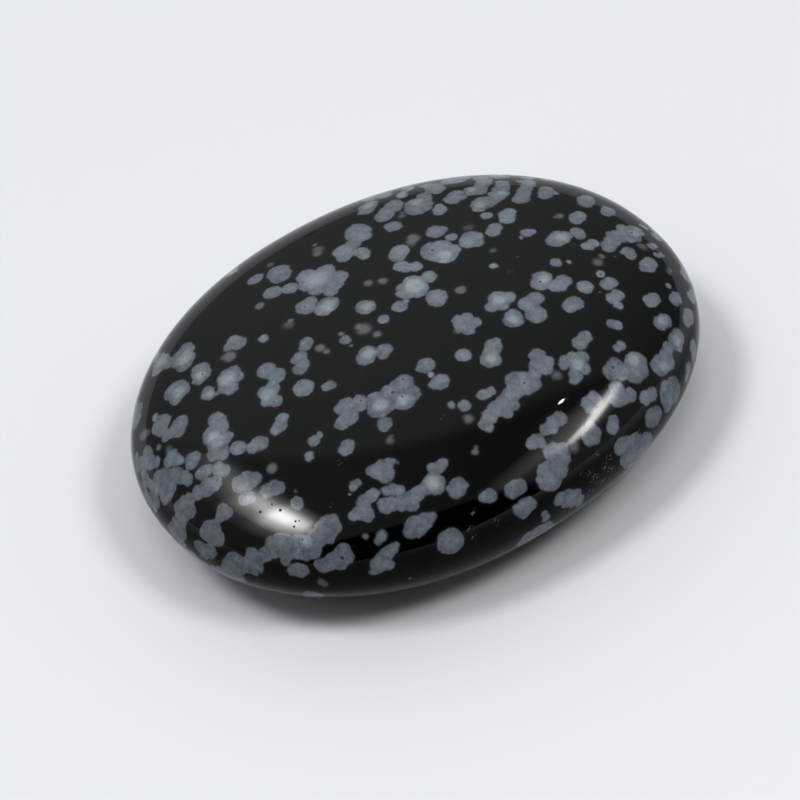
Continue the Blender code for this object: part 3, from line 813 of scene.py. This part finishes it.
def obsidian():
    """Black volcanic glass with bluish grey snowflakes, polished."""
    material = bpy.data.materials.new("obsidian")
    material.use_nodes = True
    tree = material.node_tree
    surface = tree.nodes["Principled BSDF"]
    group = mark_group()
    point = scaled(tree, node(tree, "TexCoord", {}).outputs["Object"], 1 / MM)
    uneven = pushed_about(tree, point)
    heart = read_mark(tree, group, "heart", 1, uneven, HEART_SWELL)
    inputs = {"Point": point, "Heart": heart["Light"]}
    for rank in "1234":
        ball = read_mark(tree, group, "flake", rank, uneven, BALL_SWELL)
        inputs["Edge " + rank] = ball["Edge"]
        inputs["Light " + rank] = ball["Light"]
    flakes = node(tree, "Group", inputs, node_tree=flake_group()).outputs
    nucleus = read_mark(tree, group, "nucleus", 1, point)
    pit = read_mark(tree, group, "pit", 1, point)["Cover"]
    patch = read_mark(tree, group, "chips", 1, point)["Cover"]
    speck = eased(tree, noise(tree, point, CHIP_SCALE), 0.55, 0.62, end=0.8)
    chip = maths(tree, "MULTIPLY", patch, speck)

    crystal = crystal_colour(tree, point, flakes["Light"], nucleus)
    colour = glass_colour(tree, group, uneven, flakes["Edge"])
    colour = blended(tree, flakes["Cover"], colour, crystal)
    colour = blended(tree, chip, colour, CHIP)
    colour = blended(tree, pit, colour, GLASS)
    tree.links.new(colour, surface.inputs["Base Color"])

    rough = maths(tree, "MULTIPLY_ADD", flakes["Cover"], FLAKE_ROUGHNESS, GLASS_ROUGHNESS)
    rough = maths(tree, "MULTIPLY_ADD", pit, PIT_ROUGHNESS, rough)
    tree.links.new(rough, surface.inputs["Roughness"])

    relief = maths(tree, "MULTIPLY", noise(tree, point, RELIEF_SCALE), flakes["Cover"])
    relief = maths(tree, "SUBTRACT", relief, maths(tree, "MULTIPLY", nucleus["Cover"], 4.0))
    bump = node(tree, "Bump", {"Height": relief, "Distance": RELIEF, "Strength": 1.0})
    tree.links.new(bump.outputs["Normal"], surface.inputs["Normal"])

    # Painted shade: the glass mirrors less low down and at a slant, so that what the lower rim mirrors,
    # mostly the floor, comes out darker
    high = eased(tree, node(tree, "SeparateXYZ", {0: point}).outputs["Z"], *SHADE_HEIGHTS)
    slant = node(tree, "LayerWeight", {}).outputs["Facing"]
    unshaded_mirror = maths(tree, "MULTIPLY", high, eased(tree, slant, *SHADE_SLANTS, start=1.0, end=0.0))
    surface.inputs["IOR"].default_value = GLASS_IOR
    tree.links.new(eased(tree, unshaded_mirror, 0.0, 1.0, SHADE_IOR, GLASS_IOR), surface.inputs["IOR"])
    return material


def compass(side, height):
    """Unit vector of a direction, turned right from the camera's side and raised by a height."""
    turn = CAMERA_SIDE + side
    return Vector((
        math.sin(turn) * math.cos(height),
        -math.cos(turn) * math.cos(height),
        math.sin(height),
    ))


def add_camera():
    """A long lens over the stone, rolled as the photograph was."""
    back = compass(0.0, CAMERA_HEIGHT)
    level = Vector((math.cos(CAMERA_SIDE), math.sin(CAMERA_SIDE), 0.0))
    lift = back.cross(level)
    cos, sin = math.cos(CAMERA_ROLL), math.sin(CAMERA_ROLL)
    right = cos * level + sin * lift
    up = -sin * level + cos * lift
    data = bpy.data.cameras.new("camera")
    data.lens = CAMERA_LENS
    data.clip_start = 0.01
    camera = put("camera", data)
    place = Matrix((right, up, back)).transposed().to_4x4()
    place.translation = Vector(CAMERA_AIM) + back * CAMERA_DISTANCE
    camera.matrix_world = place
    bpy.context.scene.camera = camera


def ramp(tree, value, stops):
    """A number read off straight lines between (position, height) stops."""
    low, high = stops[0][0], stops[-1][0]
    inputs = {"Value": value, "From Min": low, "From Max": high}
    share = node(tree, "MapRange", inputs).outputs["Result"]
    made = node(tree, "ValToRGB", {0: share})
    steps = made.color_ramp.elements
    steps[0].position, steps[1].position = 0.0, 1.0
    steps[0].color = (stops[0][1],) * 3 + (1.0,)
    steps[1].color = (stops[-1][1],) * 3 + (1.0,)
    for position, height in stops[1:-1]:
        steps.new((position - low) / (high - low)).color = (height,) * 3 + (1.0,)
    return made.outputs["Color"]


def add_window(name, side, height, roll, along, above, radiance, colour):
    """A bright panel one metre away, brighter in parts, that shows in the polish alone.

    The panel is square to the compass direction side and height, in degrees, and roll turns it
    in its plane. The stops of along and above are places, in metres from that direction, and
    how bright the panel is there across it and up it.
    """
    way = compass(math.radians(side), math.radians(height))
    level = compass(math.radians(side + 90), 0.0)
    lift = way.cross(level)
    cos, sin = math.cos(math.radians(roll)), math.sin(math.radians(roll))
    across = cos * level + sin * lift
    up = -sin * level + cos * lift
    wide, tall = along[-1][0] - along[0][0], above[-1][0] - above[0][0]
    data = bpy.data.lights.new(name, "AREA")
    data.shape = "RECTANGLE"
    data.size, data.size_y = wide, tall
    data.energy = radiance * math.pi * wide * tall
    data.color = colour
    data.use_nodes = True
    lamp = put(name, data)
    lamp.visible_diffuse = False
    centre = way + across * (along[0][0] + wide / 2) + up * (above[0][0] + tall / 2)
    place = Matrix((across, up, way)).transposed().to_4x4()
    place.translation = centre
    lamp.matrix_world = place
    tree = data.node_tree
    position = node(tree, "NewGeometry", {}).outputs["Position"]
    offset = vectors(tree, "SUBTRACT", position, tuple(way))
    glow = maths(
        tree, "MULTIPLY",
        ramp(tree, vectors(tree, "DOT_PRODUCT", offset, tuple(across)), along),
        ramp(tree, vectors(tree, "DOT_PRODUCT", offset, tuple(up)), above),
    )
    tree.links.new(glow, tree.nodes["Emission"].inputs["Strength"])


def leaning(tree, way, degrees):
    """Cosine between a direction and a level one, turned right from the camera by degrees."""
    return vectors(tree, "DOT_PRODUCT", way, tuple(compass(math.radians(degrees), 0.0)))


def screen_edge(tree, way, up):
    """A number that is one at the dark screen's edge, less inside it and more outside."""
    front = maths(tree, "MAXIMUM", leaning(tree, way, SCREEN_SIDE), 0.01)
    beside = leaning(tree, way, SCREEN_SIDE + 90)
    shares = []
    for lean, half in ((beside, SCREEN_HALF_WIDTH), (up, SCREEN_HALF_HEIGHT)):
        offset = maths(tree, "ABSOLUTE", maths(tree, "DIVIDE", lean, front))
        offset = maths(tree, "POWER", offset, SCREEN_POWER)
        shares.append(maths(tree, "DIVIDE", offset, half ** SCREEN_POWER))
    return maths(tree, "ADD", *shares)


def add_room():
    """A grey room: brighter behind the stone, dimmer beside it, with a dark screen in front.

    The wall behind the stone brightens upwards and dims to the right. The rest of the room has
    one brightness on the left and another on the right, each changing with height.
    """
    world = bpy.data.worlds.new("room")
    world.use_nodes = True
    tree = world.node_tree
    way = node(tree, "TexCoord", {}).outputs["Generated"]
    up = node(tree, "SeparateXYZ", {0: way}).outputs["Z"]
    right = leaning(tree, way, 90)
    wall = maths(
        tree, "MULTIPLY",
        eased(tree, up, 0.1, 0.74, start=0.42, end=0.76),
        eased(tree, right, -0.1, 0.95, start=1.0, end=0.62),
    )
    left_side = eased(tree, up, 0.3, 0.8, start=0.40, end=0.44)
    right_side = eased(tree, up, 0.2, 0.65, start=0.48, end=0.25)
    on_the_right = eased(tree, right, -0.3, 0.5)
    rest = node(tree, "Mix", {0: on_the_right, 2: left_side, 3: right_side}).outputs[0]
    behind = maths(tree, "MULTIPLY_ADD", up, 0.284, leaning(tree, way, 167))
    on_the_wall = eased(tree, behind, 0.35, 0.49)
    room = node(tree, "Mix", {0: on_the_wall, 2: rest, 3: wall}).outputs[0]
    past_screen = eased(tree, screen_edge(tree, way, up), 0.8, 1.2, start=0.02, end=1.0)
    background = tree.nodes["Background"]
    background.inputs["Color"].default_value = (0.97, 1.0, 1.01, 1.0)
    strength = maths(tree, "MULTIPLY", room, past_screen)
    tree.links.new(strength, background.inputs["Strength"])
    bpy.context.scene.world = world


def add_softbox(name, side, height, wide, tall, power):
    """A soft lamp one metre away that lights matt things and doesn't show in the polish."""
    way = compass(math.radians(side), math.radians(height))
    data = bpy.data.lights.new(name, "AREA")
    data.shape = "ELLIPSE"
    data.size, data.size_y = wide, tall
    data.energy = power
    lamp = put(name, data)
    lamp.visible_glossy = False
    lamp.location = way
    lamp.rotation_euler = way.to_track_quat("Z", "Y").to_euler()


def add_lights():
    """Soft lamps for the light, and the windows that show in the polish."""
    add_softbox("front_softbox", side=2, height=67, wide=0.41, tall=0.33, power=2.4)
    add_softbox("right_softbox", side=50, height=57, wide=0.28, tall=0.24, power=3.85)
    add_softbox("left_softbox", side=-69, height=66, wide=0.29, tall=0.25, power=4.0)
    add_window(
        "left_window", side=-75, height=0, roll=0,
        along=[
            (-1.0, 0.03), (-0.7, 0.10), (-0.5, 0.12), (-0.3, 0.19), (-0.15, 0.42), (0.07, 0.47),
            (0.22, 1.0), (0.4, 1.0), (0.53, 0.82), (0.7, 0.6), (0.82, 0.2), (0.95, 0.0),
        ],
        above=[
            (0.5, 0.0), (0.62, 0.03), (0.78, 0.08), (0.93, 0.34), (1.05, 0.54), (1.15, 0.82),
            (1.25, 1.0), (1.35, 1.0), (1.45, 0.86), (1.55, 0.58), (1.65, 0.32), (1.75, 0.17),
            (1.9, 0.06), (2.05, 0.0),
        ],
        radiance=24.5, colour=(1.0, 0.985, 0.96),
    )
    add_window(
        "right_window", side=74, height=33, roll=17,
        along=[
            (-0.26, 0.0), (-0.19, 0.7), (-0.12, 1.0), (0.03, 1.0), (0.13, 0.6), (0.2, 0.3),
            (0.25, 0.0),
        ],
        above=[
            (-0.2, 0.0), (-0.13, 0.04), (-0.085, 0.13), (-0.042, 0.75), (-0.027, 1.0),
            (0.016, 1.0), (0.040, 0.55), (0.063, 0.1), (0.11, 0.0),
        ],
        radiance=16.5, colour=(1.0, 0.99, 0.97),
    )
    add_window(
        "right_glow", side=66, height=36, roll=10,
        along=[(-0.5, 0.0), (-0.4, 0.25), (-0.25, 0.42), (-0.1, 0.7), (0.12, 1.0), (0.3, 0.0)],
        above=[(-0.2, 0.0), (-0.1, 0.35), (0.0, 1.0), (0.06, 0.8), (0.22, 0.0)],
        radiance=3.0, colour=(1.0, 0.98, 0.95),
    )
    add_window(
        "far_lamp", side=86.9, height=55.2, roll=0,
        along=[(-0.012, 1.0), (0.012, 1.0)],
        above=[(-0.008, 1.0), (0.008, 1.0)],
        radiance=60.0, colour=(1.0, 1.0, 1.0),
    )


def add_floor():
    """A plain pale floor."""
    turns = ((-1, -1), (1, -1), (1, 1), (-1, 1))
    corners = [(x * FLOOR_HALF, y * FLOOR_HALF, 0.0) for x, y in turns]
    mesh = bpy.data.meshes.new("floor")
    mesh.from_pydata(corners, [], [(0, 1, 2, 3)])
    material = bpy.data.materials.new("pale_floor")
    material.use_nodes = True
    surface = material.node_tree.nodes["Principled BSDF"]
    surface.inputs["Base Color"].default_value = FLOOR
    surface.inputs["Roughness"].default_value = FLOOR_ROUGHNESS
    mesh.materials.append(material)
    floor = put("floor", mesh)


def main():
    """Dress the stone, then light it and look at it."""
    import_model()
    low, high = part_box("stone")
    mesh = stone_surface(high - low)
    mark_stone(mesh, high - low)
    mesh.materials.append(obsidian())
    stone = put("polished_stone", mesh)
    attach(stone, "root")
    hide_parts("stone")
    add_floor()
    add_room()
    add_lights()
    add_camera()
    bpy.context.scene.view_settings.view_transform = "Standard"
    bpy.context.scene.view_settings.gamma = 0.8


main()
